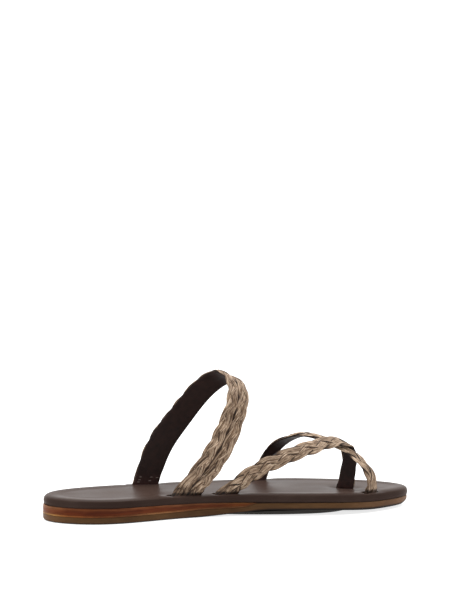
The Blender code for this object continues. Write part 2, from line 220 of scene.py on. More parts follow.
# Loose fibres on the strands
STRAY_RINGS, STRAY_EVERY = 18, 5.0  # rings of each, and length of strand for each
STRAY_TOP = 0.75  # they lie where a strand is on top
STRAY_LANE, STRAY_SLANT, STRAY_BEND = 0.6, 0.7, 0.08  # place, slant and bend across the strip
STRAY_HALF, STRAY_LIFT, STRAY_TONE = (0.084, 0.168), (0.096, 0.256), (0.5, 1.0)  # least and most

# Tones of the strands, from 0 to 1
FIBRE_TONES = (0.40, 0.80)
LOW_SHADE = 0.09  # painted shade: how much darker the fibres are low on the straps
HIGH_FROM, HIGH_SHARE = 4.0, 0.75  # where that painted shade fades, between a height and a share of a strand's own
BASE_SHADE = (-0.5, 1.1)  # heights where the painted shade at a strap's base is darkest and clear
TOP_SHADE, FAN_CLEAR = 0.70, 0.7  # painted shade of a strand at mid-height, and how even it is at the slots
OUTLINE_SOFT, OUTLINE_DARK = 0.2, 0.92  # breadth and darkness of the painted shade along a strand's rim
OPEN_SWING, OPEN_FAN, OPEN_CLEAR = (0.55, 0.9), 0.8, 0.8  # where that painted shade is lost
SEAM_SHADE, SEAM_DARK = (0.0, 1.0), 0.9  # breadth and darkness of the painted shade in the line between two plaits
NO_SEAM = 99.0  # a place far from any such line

# Random ways along a strand: their strength, and the length over which they change
TURN_SWAY = 0.12
WIDTH_SWAY = Sway(0.06, 20.0)
SEAM_SWAY = Sway(0.4, 28.0)
STRIP_SWAY = Sway(0.10, 34.0)
LINE_SWAY = Sway(0.28, 22.0)
DARK_SWAY = Sway(0.6, 15.0)
SPLIT_SWAY = Sway(1.6, 24.0)
LIFT_SWAY = Sway(0.05, 18.0)
FIBRE_TONE_SWAY = Sway(0.10, 26.0)
STRIP_TONE_SWAY = Sway(0.20, 15.0)

# Lining: a thin leather strip on the inner side of each strap
LINING_IN, LINING_OUT = 1.4, 0.45  # mid-wall in to the lining's two faces

# Stitches at the base of the instep's lateral leg: places across the strap and over the footbed
BASE_STITCHES = (
    Stitch(-5.6, 1.4), Stitch(-5.4, 3.1), Stitch(-5.2, 4.8),
    Stitch(2.3, 2.0), Stitch(2.5, 4.2), Stitch(6.8, 3.9),
)
STITCH_HALF, STITCH_THICK = 1.0, 0.30  # half of a stitch's length and of its thickness
LINING_STEP, STITCH_STEP = 1.5, 0.5  # length between two sections
LINING_CHANGE = 0.06  # half of the stretch where a lining's width changes

# Slots in the footbed, with a thin slit that runs on towards the heel
SLOT_OUT, SLOT_IN, SLOT_SIDE = 2.1, 1.8, 0.3  # from mid-wall, and past the strap's edges
SLOT_ABOVE, SLOT_BELOW = 8.0, 3.0  # how far cutters reach past the top and the end
SLOT_CORNERS, SLOT_ENDS = (1.5, 1.2), (0.75, 0.5)  # corners at the heel's end and the toe's
SLIT_LENGTH, SLIT_HALF = 3.6, 0.45
SLIT_TAPER, SLIT_POINT = 1.2, 0.3  # length and breadth of a slit's pointed end
SLIT_LIP, LIP_REACH = 0.7, 3.0  # a slit's inner lip stands up and its outer lip lies down
LIP_START, LIP_END = (-2.5, 1.0), (0.0, 2.0)  # by the slit's point and by the strap
DIP_REACH, DIP_OUTWARD = 5.5, 0.6  # breadth of the leather's dips

# Camera: it sees the shoe from 21.3 degrees towards the heel and 7.1 degrees above level, and is pitched
# so that the shoe sits low in the picture
CAMERA_PLACE = (-305.871, -1109.25, 177.49)
CAMERA_YAW, CAMERA_PITCH, CAMERA_ROLL = math.radians(21.244), math.radians(1.7413), math.radians(0.29)
FOCAL_PIXELS, PICTURE_HEIGHT, SENSOR = 1785.43, 600, 36.0

# Studio light: brightest from above and behind the shoe, dimmer from the front
LIGHT_FROM = (0.0, 0.75, 0.65)
LIGHT_LEVELS = (-0.65, 0.65, 0.2, 2.1)  # least and most of that direction, and strengths
LAMP_PLACE, LAMP_SIZE, LAMP_POWER = (0.1, 0.3, 1.4), 1.2, 9.0  # metres and watts
FLOOR_REACH, FLOOR_GREY, FLOOR_GLOW = 6.0, 0.42, 0.78  # metres, and shares of white


# Curves

def smoothstep(start, end, x):
    share = np.clip((np.asarray(x, float) - start) / (end - start), 0.0, 1.0)
    return share * share * (3.0 - 2.0 * share)


def unit(vectors):
    return vectors / np.linalg.norm(vectors, axis=-1, keepdims=True)


def running(steps):
    """Length from the start to the end of each step."""
    return np.concatenate([[0.0], np.cumsum(steps)])


def square_to(vectors, ahead):
    """Unit vectors without their part along others."""
    return unit(vectors - (vectors * ahead).sum(axis=1)[:, None] * ahead)


def turned_to(vectors, others):
    """The vectors, turned round where they point away from others."""
    return vectors * np.sign((vectors * others).sum(axis=1))[:, None]


def spline(rows, closed=False):
    """(function, knots): a cubic curve through the rows, spaced by the root of their distance."""
    points = np.array(rows, float)
    if closed:
        points = np.vstack([points, points[:1]])
    steps = np.sqrt(np.linalg.norm(np.diff(points[:, :3], axis=0), axis=1))
    knots = running(steps)
    last = len(points) - 1
    matrix = np.eye(last + 1)
    target = np.zeros_like(points)
    slopes = np.diff(points, axis=0) / steps[:, None]
    for i in range(1, last):
        matrix[i, i - 1 : i + 2] = steps[i - 1], 2 * (steps[i - 1] + steps[i]), steps[i]
        target[i] = 6 * (slopes[i] - slopes[i - 1])
    if closed:
        matrix[0, last] = -1.0
        matrix[last, [0, 1]] = 2 * steps[0], steps[0]
        matrix[last, [last - 1, last]] = steps[-1], 2 * steps[-1]
        target[last] = 6 * (slopes[0] - slopes[-1])
    bends = np.linalg.solve(matrix, target)

    def at(where):
        where = np.atleast_1d(np.asarray(where, float))
        i = np.clip(np.searchsorted(knots, where, side="right") - 1, 0, last - 1)
        h = steps[i]
        b = (where - knots[i]) / h
        a = 1.0 - b
        bend = (a**3 - a)[:, None] * bends[i] + (b**3 - b)[:, None] * bends[i + 1]
        return a[:, None] * points[i] + b[:, None] * points[i + 1] + bend * (h * h / 6)[:, None]

    return at, knots


def outline_curve(outline):
    return spline([(corner.x, corner.y) for corner in outline], closed=True)


def moved_corner(outline, place, x):
    """The outline with one of its corners moved along the shoe."""
    return [corner._replace(x=x) if corner.place == place else corner for corner in outline]


def outline_middle(outline):
    at, knots = outline_curve(outline)
    edge = at(np.linspace(0.0, knots[-1], SAMPLES))
    return (edge.min(axis=0) + edge.max(axis=0)) / 2


MIDDLE = outline_middle(SOLE_OUTLINE)


def to_metres(points):
    """Points in the shoe's millimetres, in the frame's metres."""
    return (np.asarray(points, float) - [MIDDLE[0], MIDDLE[1], 0.0]) * MM


class Wander:
    """Smooth random ways along a length, the same on each run."""

    def __init__(self, seed):
        self.random = np.random.default_rng(seed)

    def along(self, length, count, wave):
        """count rows of values near -1 to 1 that change over about one wave."""
        total = 0.0
        for part, share in ((1.0, 0.6), (0.47, 0.4), (0.23, 0.2)):
            phase = self.random.uniform(0.0, ROUND, (count, 1))
            stretch = self.random.uniform(0.8, 1.25, (count, 1)) * wave * part
            total = total + share * np.sin(ROUND * length[None, :] / stretch + phase)
        return total

    def sway(self, sway, length, count=1):
        """count rows of a named random way."""
        return sway.strength * self.along(length, count, sway.wave)

    def pick(self, low, high, count):
        return self.random.uniform(low, high, count)


# Heights of the sole at a station x

def toe_drop(x):
    return TOE_DROP * smoothstep(*TOE_DROP_RUN, x)


def outsole_bottom(x):
    lift = PAD_HEIGHT * smoothstep(*WAIST, x) - toe_drop(x)
    lift = lift - TOE_LOW * smoothstep(*TOE_LOW_RUN, x)
    return lift + TIP_RISE * smoothstep(*TIP_RISE_RUN, x)


def outsole_top(x):
    growth = PAD_HEIGHT + OUTSOLE_FORE - OUTSOLE_HEEL
    top = OUTSOLE_HEEL + growth * smoothstep(*ARCH, x) - toe_drop(x)
    low = WEDGE_LOW + WEDGE_TAIL * smoothstep(*WEDGE_TAIL_RUN, x)
    top = top - low * (1.0 - smoothstep(*WEDGE_LOW_RUN, x))
    return np.minimum(top, footbed_bottom(x) - SEAM)


def seat(x):
    fall = SEAT_FALL_BALL * smoothstep(0.0, BALL_X, x)
    return SEAT_HEEL - fall - SEAT_FALL_TOE * smoothstep(BALL_X, TOE_X, x)


def footbed_bottom(x):
    return seat(x) - toe_drop(x)


def rand_top(x, room=0.0):
    """The line between the rand and the wedge, with room under the wedge's top."""
    return np.minimum(outsole_top(x) + SEAM + RAND_HEIGHT, footbed_bottom(x) - SEAM - room)


def footbed_top(x):
    growth = (FOOTBED_BALL - FOOTBED_HEEL) * smoothstep(0.0, BALL_X, x)
    thinning = (FOOTBED_BALL - FOOTBED_TOE) * smoothstep(BALL_X, TOE_X, x)
    return seat(x) + FOOTBED_HEEL + growth - thinning


def over_footbed(points):
    return points[..., 2] - footbed_top(points[..., 0])


# Straps: sections along a route

def facing(tilt, turn):
    """The direction of a strap's outer face."""
    tilt, turn = np.radians(tilt), np.radians(turn)
    level = np.cos(turn)
    return np.stack([np.sin(turn), -level * np.sin(tilt), level * np.cos(tilt)], axis=-1)


def slot_end(row, inner):
    """The row where a strap stops, on along its slant and just over the layer below."""
    outward = facing(row[3], row[4])
    run = inner[:3] - row[:3]
    run = run - run.dot(outward) * outward
    depth = row[2] - footbed_bottom(row[0]) - END_GAP
    return np.concatenate([row[:3] - run * depth / run[2], row[3:]])


def route_rows(route):
    """Rows of x, y, z, tilt and turn along a strap, with both ends down in their slots."""
    rows = np.array([(s.x, s.y, footbed_top(s.x) + s.rise, s.tilt, s.turn) for s in route])
    return np.vstack([slot_end(rows[0], rows[1]), rows, slot_end(rows[-1], rows[-2])])


Path = namedtuple("Path", "place across outward spread along")


def strap_path(strap, step):
    """Even sections along a strap."""
    at, knots = spline(route_rows(strap.route))
    dense = at(np.linspace(knots[0], knots[-1], SAMPLES))
    length = running(np.linalg.norm(np.diff(dense[:, :3], axis=0), axis=1))
    along = np.linspace(0.0, length[-1], int(length[-1] / step) + 1)
    rows = np.column_stack([np.interp(along, length, column) for column in dense.T])
    place = rows[:, :3]
    ahead = unit(np.gradient(place, axis=0))
    outward = square_to(facing(rows[:, 3], rows[:, 4]), ahead)
    square = np.cross(ahead, outward)
    level = turned_to(unit(np.cross([0.0, 0.0, 1.0], outward)), square)
    from_end = np.minimum(along, along[-1] - along)
    share = 1.0 - smoothstep(LEVEL_STRETCH / 2, LEVEL_STRETCH, from_end)[:, None]
    across = unit(square * (1.0 - share) + level * share)
    spread = strap.width / (across * square).sum(axis=1) ** GATHER
    return Path(place, across, outward, spread, along)


# Meshes

def add_object(name, data):
    obj = bpy.data.objects.new(name, data)
    SCENE.collection.objects.link(obj)
    return obj


class Skin:
    """Points, faces and point values of one mesh, in millimetres."""

    def __init__(self):
        self.points, self.faces, self.values, self.count = [], [], {}, 0

    def add_tubes(self, rings, **values):
        """Closed tubes, with axes for tube, station, side and place."""
        tubes, stations, sides, _ = rings.shape
        index = self.count + np.arange(tubes * stations * sides).reshape(tubes, stations, sides)
        here, ahead = index[:, :-1], index[:, 1:]
        quads = [here, np.roll(here, -1, axis=2), np.roll(ahead, -1, axis=2), ahead]
        self.faces += np.stack(quads, axis=-1).reshape(-1, 4).tolist()
        self.faces += index[:, 0].tolist() + index[:, -1].tolist()
        self.points.append(rings.reshape(-1, 3))
        self.count += tubes * stations * sides
        for name, value in values.items():
            full = np.broadcast_to(value, rings.shape[:3]).reshape(-1)
            self.values.setdefault(name, []).append(full)

    def make(self, name, material, merge=False):
        """The object, in the frame's metres."""
        mesh = bpy.data.meshes.new(name)
        mesh.from_pydata(to_metres(np.concatenate(self.points)), [], self.faces)
        for attribute, parts in self.values.items():
            data = mesh.attributes.new(attribute, "FLOAT", "POINT").data
            data.foreach_set("value", np.concatenate(parts).astype(np.float32))
        work = bmesh.new()
        work.from_mesh(mesh)
        if merge:
            bmesh.ops.remove_doubles(work, verts=work.verts, dist=MERGE)
            bmesh.ops.dissolve_degenerate(work, edges=work.edges, dist=MERGE)
        bmesh.ops.recalc_face_normals(work, faces=work.faces)
        work.to_mesh(mesh)
        work.free()
        mesh.shade_smooth()
        mesh.set_sharp_from_angle(angle=SHARP)
        mesh.materials.append(material)
        return add_object(name, mesh)


# Sole layers

def outline_sides(outline, inset, stations, x_to=None):
    """Medial and lateral points of an outline from back to tip, moved in and cut at x_to."""
    at, knots = outline_curve(outline)
    around = knots[-1]
    tip = knots[[corner.place for corner in outline].index("tip")]
    share = np.linspace(0.0, 1.0, SAMPLES)
    eased = (1.0 - np.cos(np.pi * np.linspace(0.0, 1.0, stations + 1))) / 2
    nudge = around / SAMPLES
    sides = []
    for back in (0.0, around):
        knot = back + (tip - back) * share
        ahead = unit(at((knot + nudge) % around) - at((knot - nudge) % around))
        line = at(knot) + inset * np.column_stack([-ahead[:, 1], ahead[:, 0]])
        last = 1.0 if x_to is None else np.interp(x_to, line[:, 0], share)
        sides.append(np.column_stack([np.interp(last * eased, share, column) for column in line.T]))
    return sides


def smooth_profile(edge):
    """Insets and height shares along a smooth curve through the rows of an edge profile."""
    at, knots = spline([(step.inset, step.height_share) for step in edge])
    last = len(knots) - 1
    rows = at(np.interp(np.linspace(0, last, last * PROFILE_STEPS + 1), np.arange(last + 1), knots))
    return np.column_stack([np.maximum(rows[:, 0], 0.0), np.clip(rows[:, 1], 0.0, 1.0)])


def sole_layer(outline, edge, bottom, top, stations, columns, x_to=None, relief=None):
    """Skin of a layer between two heights, with a ring at each station."""
    medial, lateral = [], []
    for inset, share in smooth_profile(edge):
        for side, rows in zip(outline_sides(outline, inset, stations, x_to), (medial, lateral)):
            low, high = bottom(side[:, 0]), top(side[:, 0])
            rows.append(np.column_stack([side, low + share * (high - low)]))
    share = (np.arange(1, columns) / columns)[:, None, None]
    roof = medial[-1] * (1 - share) + lateral[-1] * share
    share = (np.arange(1, BASE_COLUMNS) / BASE_COLUMNS)[:, None, None]
    base = lateral[0] * (1 - share) + medial[0] * share
    rings = np.concatenate([medial, roof, lateral[::-1], base]).transpose(1, 0, 2)
    level = rings[..., 2] - bottom(rings[..., 0])
    level = level / np.maximum(top(rings[..., 0]) - bottom(rings[..., 0]), 0.1)
    if relief is not None:
        rings[..., 2] += relief(rings[..., 0], rings[..., 1]) * smoothstep(RELIEF_FROM, 1.0, level)
    skin = Skin()
    skin.add_tubes(rings[None], level=level)
    return skin


def slot_ends(strap):
    """Both ends of a strap: the sections from the end up to a little over the footbed."""
    path = strap_path(strap, STRAND_STEP * 2)
    count = len(path.along)
    for order in (range(count // 3), range(count - 1, count - count // 3, -1)):
        top = footbed_top(path.place[order[0], 0]) + SLOT_ABOVE
        yield path, [i for i in order if path.place[i, 2] < top]


def slot_relief(x, y):
    """The top's tilt, dips where the straps draw the leather down, and the lips of the slits."""
    fade = 1.0 - smoothstep(*HEEL_TILT_RUN, x)
    height = HEEL_TILT * np.clip(y / HEEL_HALF, -1.0, 1.0) * fade
    height -= TOP_FALL * (0.5 - y / TOP_HALF / 2)
    for strap in STRAPS:
        for (path, inside), dip in zip(slot_ends(strap), strap.dips):
            at_top = inside[int(np.argmin(np.abs(over_footbed(path.place[inside]))))]
            centre, out = path.place[at_top], unit(path.outward[at_top, :2])
            ahead = unit(path.across[at_top, :2])
            ahead = ahead * np.sign(ahead[0])
            run = (x - centre[0]) * ahead[0] + (y - centre[1]) * ahead[1]
            off = (x - centre[0]) * out[0] + (y - centre[1]) * out[1]
            half = path.spread[at_top] / 2
            beyond = np.maximum(np.abs(run) - half, 0.0)
            away = np.hypot(np.where(off > 0.0, off * DIP_OUTWARD, off), beyond)
            height -= dip * np.exp(-((away / DIP_REACH) ** 2))
            begin, end = np.add(LIP_START, -half - SLIT_LENGTH), np.add(LIP_END, -half)
            along = smoothstep(*begin, run) * (1.0 - smoothstep(*end, run))
            height -= SLIT_LIP * along * np.tanh(2 * off) * np.exp(-((off / LIP_REACH) ** 2))
    return height


def slot_ring(spread, toeward):
    """A slot's section with its slit on the heel's side: places across and out."""
    half = spread / 2 + SLOT_SIDE
    slit, (heel, toe), (heel_end, toe_end) = -half - SLIT_LENGTH, SLOT_CORNERS, SLOT_ENDS

    def wall(slit_out, out):
        return [
            (slit, slit_out * SLIT_POINT), (slit + SLIT_TAPER, slit_out), (-half, out * heel_end),
            (-half + heel, out), (half - toe, out), (half, out * toe_end),
        ]

    ring = wall(SLIT_HALF, SLOT_OUT) + wall(-SLIT_HALF, -SLOT_IN)[::-1]
    return [(toeward * side, out) for side, out in ring]


def slot_cutter(material):
    """Bodies a little larger than the straps' ends."""
    skin = Skin()
    for strap in STRAPS:
        for path, inside in slot_ends(strap):
            end = inside[0]
            below = path.place[end] + unit(path.place[end] - path.place[inside[1]]) * SLOT_BELOW
            rings = []
            for centre, i in [(below, end)] + [(path.place[i], i) for i in inside]:
                ring = slot_ring(path.spread[i], np.sign(path.across[end, 0]))
                across, outward = path.across[i], path.outward[i]
                rings.append([centre + across * side + outward * out for side, out in ring])
            skin.add_tubes(np.array([rings]))
    return skin.make("strap_slots", material)


def cut(obj, cutter):
    """Takes the cutter's bodies out of an object's mesh, and the cutter out of the scene."""
    modifier = obj.modifiers.new("slots", "BOOLEAN")
    modifier.operation = "DIFFERENCE"
    modifier.object = cutter
    modifier.solver = "EXACT"
    graph = bpy.context.evaluated_depsgraph_get()
    old = obj.data
    obj.data = bpy.data.meshes.new_from_object(obj.evaluated_get(graph))
    obj.modifiers.remove(modifier)
    bpy.data.meshes.remove(old)
    obj.data.name = obj.name
    obj.data.set_sharp_from_angle(angle=SHARP)
    bpy.data.objects.remove(cutter)


def dress(obj, nodes=(), slot=None):
    """Puts a finished piece on the shoe's one body."""
    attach(obj, "root")
    if nodes:
        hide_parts(*nodes)


def make_sole():
    pad = sole_layer(
        PAD_OUTLINE, PAD_EDGE, np.zeros_like, lambda x: outsole_bottom(x) - SEAM,
        stations=90, columns=8,
    )
    dress(pad.make("pad", rubber(), merge=True), ["forefoot_pad"], "pad_rubber")
    outsole = sole_layer(
        moved_corner(SOLE_OUTLINE, "tip", OUTSOLE_TIP), OUTSOLE_EDGE,
        outsole_bottom, outsole_top, stations=160, columns=10,
    )
    dress(outsole.make("sole_edge", sole_brown(), merge=True), ["outsole"], "outsole_rubber")
    rand = sole_layer(
        SOLE_OUTLINE, RAND_EDGE, lambda x: outsole_top(x) + SEAM, rand_top,
        stations=120, columns=4, x_to=WEDGE_END,
    )
    dress(rand.make("rand", rand_tan(), merge=True), (), "wedge_leather")
    wedge = sole_layer(
        SOLE_OUTLINE, WEDGE_EDGE, lambda x: rand_top(x, WEDGE_THIN), lambda x: footbed_bottom(x) - SEAM,
        stations=120, columns=6, x_to=WEDGE_END,
    )
    dress(wedge.make("wedge", wedge_orange(), merge=True), ["heel_wedge"], "wedge_leather")
    leather = footbed_leather()
    footbed = sole_layer(
        moved_corner(SOLE_OUTLINE, "back", FOOTBED_BACK), FOOTBED_EDGE,
        footbed_bottom, footbed_top, stations=300, columns=90, relief=slot_relief,
    )
    footbed = footbed.make("insole", leather, merge=True)
    cut(footbed, slot_cutter(leather))
    dress(footbed, ["footbed"], "footbed_leather")


# Straps: lining, strands and fibres

def lining_ring(half):
    """A lining's section: places across and out, round its edges."""
    middle, thick = -(LINING_IN + LINING_OUT) / 2, (LINING_IN - LINING_OUT) / 2
    flat = np.linspace(-1.0, 1.0, 9)[:, None] * (half - thick)[None, :]
    bend = np.radians([-60.0, 0.0, 60.0])[:, None]
    turn_out, turn_up = np.cos(bend) * thick, np.sin(bend) * thick
    sides = np.concatenate([flat, half - thick + turn_out, flat[::-1], -(half - thick) - turn_out])
    outs = np.concatenate([
        np.full((9, 1), middle - thick), middle + turn_up, np.full((9, 1), middle + thick),
        middle - turn_up,
    ])
    return sides.T, np.broadcast_to(outs, sides.shape).T


def make_lining(strap, material):
    path = strap_path(strap, LINING_STEP)
    first, last, change, shift = strap.lining
    share = smoothstep(change - LINING_CHANGE, change + LINING_CHANGE, path.along / path.along[-1])
    sides, outs = lining_ring(path.spread / 2 * (first + (last - first) * share))
    rings = (
        path.place[:, None] + path.across[:, None] * (sides + shift)[..., None]
        + path.outward[:, None] * outs[..., None]
    )
    skin = Skin()
    face = (outs > -(LINING_IN + LINING_OUT) / 2).astype(float)
    skin.add_tubes(rings[None], face=face, rise=over_footbed(path.place)[:, None])
    return skin.make(f"{strap.name}_lining", material)


def make_stitches(strap, material):
    """Short threads across the lining's inner face, low on the strap's last leg."""
    path = strap_path(strap, STITCH_STEP)
    rises = over_footbed(path.place)
    late = path.along > path.along[-1] / 2
    share = np.linspace(-1.0, 1.0, 9)[:, None]
    turn = np.linspace(0.0, ROUND, 8, endpoint=False)[None]
    thick = STITCH_THICK * np.sqrt(np.maximum(1.0 - share**4, 0.05))
    out = -LINING_IN - 0.6 * STITCH_THICK * (1.0 - share**2) + thick * np.sin(turn)
    skin = Skin()
    for stitch in BASE_STITCHES:
        i = int(np.argmin(np.where(late, np.abs(rises - stitch.rise), np.inf)))
        ahead = unit(np.cross(path.across[i], path.outward[i]))
        rings = (
            path.place[i] + path.across[i] * (stitch.across + STITCH_HALF * share)[..., None]
            + path.outward[i] * out[..., None] + ahead * (thick * np.cos(turn))[..., None]
        )
        skin.add_tubes(rings[None])
    return skin.make("base_stitches", material)


Strand = namedtuple("Strand", "centre side out half over length base offset swing fan high seam")


def strand_way(strap, path, plait, number, wander):
    """A strand's way along its plait."""
    turn = ROUND * ((path.along - plait.start) / strap.pitch + number / STRANDS)
    turn = turn + wander.sway(Sway(TURN_SWAY, strap.pitch), path.along)[0]
    swing = (np.sin(turn) - EDGE_TURN * np.sin(3 * turn)) / (1.0 + EDGE_TURN)
    over = -np.sin(2 * turn)
    wide = path.spread / strap.width
    across = (plait.middle + plait.half * STRAND_SWING * swing) * wide
    out = BRAID_MID + BRAID_OVER * over - BRAID_DOME * swing**2
    centre = path.place + path.across * across[:, None] + path.outward * out[:, None]
    ahead = unit(np.gradient(centre, axis=0))
    roll = (EDGE_ROLL * swing)[:, None]
    side = square_to(path.across * np.cos(roll) - path.outward * np.sin(roll), ahead)
    up = turned_to(np.cross(ahead, side), path.outward)
    half = plait.half * STRAND_HALF * wide * (1.0 + wander.sway(WIDTH_SWAY, path.along)[0])
    half = half * (1.0 + STRAND_SWELL * (1.0 - swing**2))
    from_end = np.minimum(path.along, path.along[-1] - path.along)
    fan = 1.0 - smoothstep(*FAN_REACH, from_end)
    half = half * (1.0 + END_FAN * fan)
    rise = over_footbed(centre)
    # Painted shade at the base by the slots, and the heights over which the painted shade low on the
    # straps fades
    base, high = smoothstep(*BASE_SHADE, rise), smoothstep(HIGH_FROM, HIGH_SHARE * rise.max(), rise)
    offset = across - plait.middle * wide
    seam = across + (wander.sway(SEAM_SWAY, path.along)[0] if plait.middle else NO_SEAM)
    return Strand(centre, side, up, half, over, path.along, base, offset, swing, fan, high, seam)


Arc = namedtuple("Arc", "share side out lean")


def strand_arc(half):
    """A strand's flat-topped section round its upper side, with shares of 1 where the strip ends."""
    angle = np.linspace(-STRIP_TABLE, STRIP_TABLE, ARC_POINTS)
    across, up = np.sin(angle), np.cos(angle)
    side = half * np.sign(across) * np.abs(across) ** (2 / STRAND_FLAT)
    out = STRAND_THICK * np.sign(up) * np.abs(up) ** (2 / STRAND_FLAT)
    length = running(np.hypot(np.diff(side), np.diff(out)))
    length = length - length[-1] / 2
    lean = np.unwrap(np.arctan2(-np.gradient(out), np.gradient(side)))
    return Arc(length / np.interp(STRIP_REACH, angle, length), side, out, lean)


def add_strand(skin, strap, strand, wander):
    """A flat strip of fibres side by side: fine ridges, thin lines between, and a few splits."""
    length, fibres = strand.length, strap.fibres
    gap = 2.0 / fibres
    lines = (np.arange(fibres + 1)[:, None] * gap - 1.0) + wander.sway(STRIP_SWAY, length)
    lines = lines + gap * wander.sway(LINE_SWAY, length, fibres + 1)
    fibre = np.append(np.repeat(np.arange(fibres), RIDGE_POINTS), fibres - 1)
    part = np.append(np.tile(np.arange(RIDGE_POINTS) / RIDGE_POINTS, fibres), 1.0)[:, None]

    def near_lines(values, reach):
        """Values of the two lines beside each point, fading within a share of a fibre."""
        before = values[fibre] * np.clip(1.0 - part / reach, 0.0, 1.0)
        after = values[fibre + 1] * np.clip(1.0 - (1.0 - part) / reach, 0.0, 1.0)
        return np.maximum(before, after)

    lane = lines[fibre] * (1.0 - part) + lines[fibre + 1] * part
    dark = np.clip(LINE_DARK + wander.sway(DARK_SWAY, length, fibres + 1), 0.0, 1.0)
    split = np.clip(wander.sway(SPLIT_SWAY, length, fibres + 1) - SPLIT_RARE, 0.0, 1.0)
    ridge = np.sin(math.pi * part)
    lift = wander.sway(LIFT_SWAY, length, fibres)[fibre]
    rise = RIDGE * (ridge**0.7 - 0.6) + lift * ridge - SPLIT_DEPTH * near_lines(split, 0.5)
    mean = float(strand.half.mean())
    arc = strand_arc(mean)
    lean = np.interp(lane, arc.share, arc.lean)
    side = np.interp(lane, arc.share, arc.side) * strand.half / mean + np.sin(lean) * rise
    out = np.interp(lane, arc.share, arc.out) + np.cos(lean) * rise
    rings = strand.centre + strand.side * side[..., None] + strand.out * out[..., None]
    # Painted shade at the strap's base, where it goes into its slot
    base = smoothstep(*BASE_SHADE, over_footbed(rings))
    tone = wander.pick(*FIBRE_TONES, (fibres, 1)) + wander.sway(FIBRE_TONE_SWAY, length, fibres)
    # Fibres lower on the straps get painted shade
    tone = tone + wander.sway(STRIP_TONE_SWAY, length) - LOW_SHADE * (1.0 - strand.high)
    # Painted shade, kept as depth: along each strip's rim except at the plait's open edge and by the
    # slots, and where a strip passes under others
    outer = smoothstep(*OPEN_SWING, strand.swing * np.sign(lane))
    clear = OPEN_CLEAR * np.maximum(outer, OPEN_FAN * strand.fan)
    edge = smoothstep(strap.outline, strap.outline + OUTLINE_SOFT, np.abs(lane))
    # Painted shade in the seam between two plaits
    seam = 1.0 - smoothstep(*SEAM_SHADE, np.abs(strand.seam + side))
    edge = (1.0 - OUTLINE_DARK * edge * (1.0 - clear)) * (1.0 - SEAM_DARK * seam)
    depth = TOP_SHADE + strap.under * strand.over * (1.0 - FAN_CLEAR * strand.fan)
    depth = np.clip(depth * edge, 0.0, 1.0)
    lane = lane.T * STRAND_LANE + LINE_STRAIGHT * strand.offset[:, None] + wander.pick(0, 90, 1)
    skin.add_tubes(
        rings.transpose(1, 0, 2)[None], tone=np.clip(tone, 0.0, 1.0)[fibre].T, depth=depth.T,
        rim=np.maximum(near_lines(dark, 0.26), near_lines(split, 0.6)).T,
        run=length[:, None], lane=lane, base=base.T, hairs=strap.hairs,
    )


def add_strays(skin, strap, strand, count, wander):
    """Thin loose fibres that lie across the strand where it is on top."""
    tops = np.flatnonzero(strand.over[STRAY_RINGS:-STRAY_RINGS] > STRAY_TOP) + STRAY_RINGS // 2
    begin = wander.random.choice(tops, count)
    at = begin[:, None, None] + np.arange(STRAY_RINGS)[:, None]
    share = np.linspace(0.0, 1.0, STRAY_RINGS)[None]
    each = (count, 1)
    slant = wander.pick(-STRAY_LANE, STRAY_LANE, each), wander.pick(-STRAY_SLANT, STRAY_SLANT, each)
    lane = slant[0] + slant[1] * (share - 0.5)
    lane = lane + STRAY_BEND * np.sin(5.0 * share + wander.pick(0.0, 6.0, each))
    mean = float(strand.half.mean())
    arc = strand_arc(mean)
    side = np.interp(lane, arc.share, arc.side) * strand.half[at[..., 0]] / mean
    lift = wander.pick(*STRAY_LIFT, each) * np.sin(math.pi * share)
    out = np.interp(lane, arc.share, arc.out) + lift
    thin = wander.pick(*STRAY_HALF, each) * (1.0 - (2.0 * share - 1.0) ** 4 * 0.8)
    turn = np.linspace(0.0, ROUND, 5, endpoint=False)
    side = side[..., None] + thin[..., None] * np.cos(turn)
    out = out[..., None] + thin[..., None] * np.sin(turn)
    rings = strand.centre[at] + strand.side[at] * side[..., None] + strand.out[at] * out[..., None]
    skin.add_tubes(
        rings, tone=wander.pick(*STRAY_TONE, (count, 1, 1)), depth=1.0, rim=0.0,
        run=strand.length[at], lane=wander.pick(0, 90, (count, 1, 1)), base=strand.base[at],
        hairs=strap.hairs,
    )


def make_plait(strap, plait, material, seed):
    path = strap_path(strap, STRAND_STEP)
    wander = Wander(seed)
    skin = Skin()
    for number in range(STRANDS):
        strand = strand_way(strap, path, plait, number, wander)
        add_strand(skin, strap, strand, wander)
        add_strays(skin, strap, strand, int(path.along[-1] / STRAY_EVERY), wander)
    return skin.make(f"{strap.name}_plait_{plait.name}", material)


def make_straps():
    raffia = braid_raffia()
    lining = lining_leather()
    for number, strap in enumerate(STRAPS):
        node, slot = ("instep_strap", "instep_braid") if number == 0 else ("toe_straps", "toe_braid")
        dress(make_lining(strap, lining), [node])
        if strap is INSTEP_STRAP:
            dress(make_stitches(strap, stitch_thread()), [node])
        for plait in strap.plaits:
            dress(make_plait(strap, plait, raffia, SEED + number), [node], slot)


# Materials

